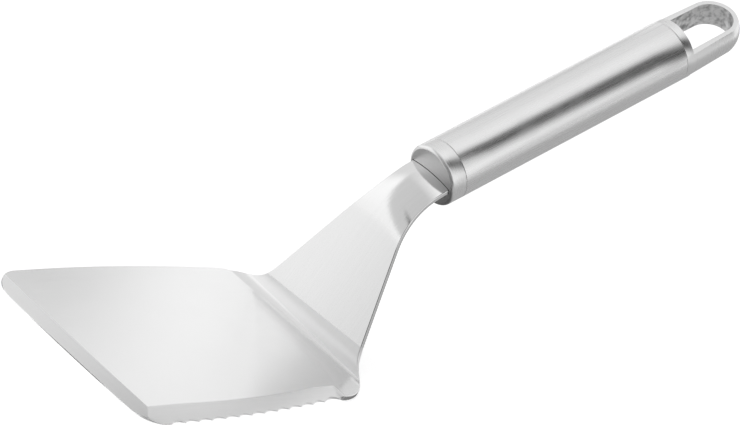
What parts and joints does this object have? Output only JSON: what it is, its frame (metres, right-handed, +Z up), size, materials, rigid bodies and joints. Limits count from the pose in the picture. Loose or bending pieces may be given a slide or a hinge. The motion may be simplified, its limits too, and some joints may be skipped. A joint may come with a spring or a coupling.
{
  "type": "lasagna server",
  "caption": "Serving spatula for lasagna: a flat bevelled steel blade, serrated on one side, on a raised bent neck and a round hollow handle with a hanging loop.",
  "frame": {"origin": "centre of the blade's flat underside", "axes": "+X from the blade's front edge to the handle, +Z up out of the blade's upper face, +Y to the blade's plain side, so the serrated side is at -Y"},
  "size_m": [0.2694, 0.0826, 0.1279],
  "materials": {
    "blade_steel": "fine satin polish, brushed along the blade, ground bevels",
    "tube_steel": "satin, brushed along the handle",
    "fitting_steel": "satin, turned and milled",
    "potting_resin": "cast, matt",
    "bond_adhesive": "cured film, matt"
  },
  "bodies": {
    "root": {"server_head": "blade_steel", "front_ferrule": "fitting_steel", "tang_potting": "potting_resin", "handle_tube": "tube_steel", "front_bond_ring": "bond_adhesive", "rear_bond_ring": "bond_adhesive", "loop_cap": "fitting_steel"}
  },
  "joints": []
}
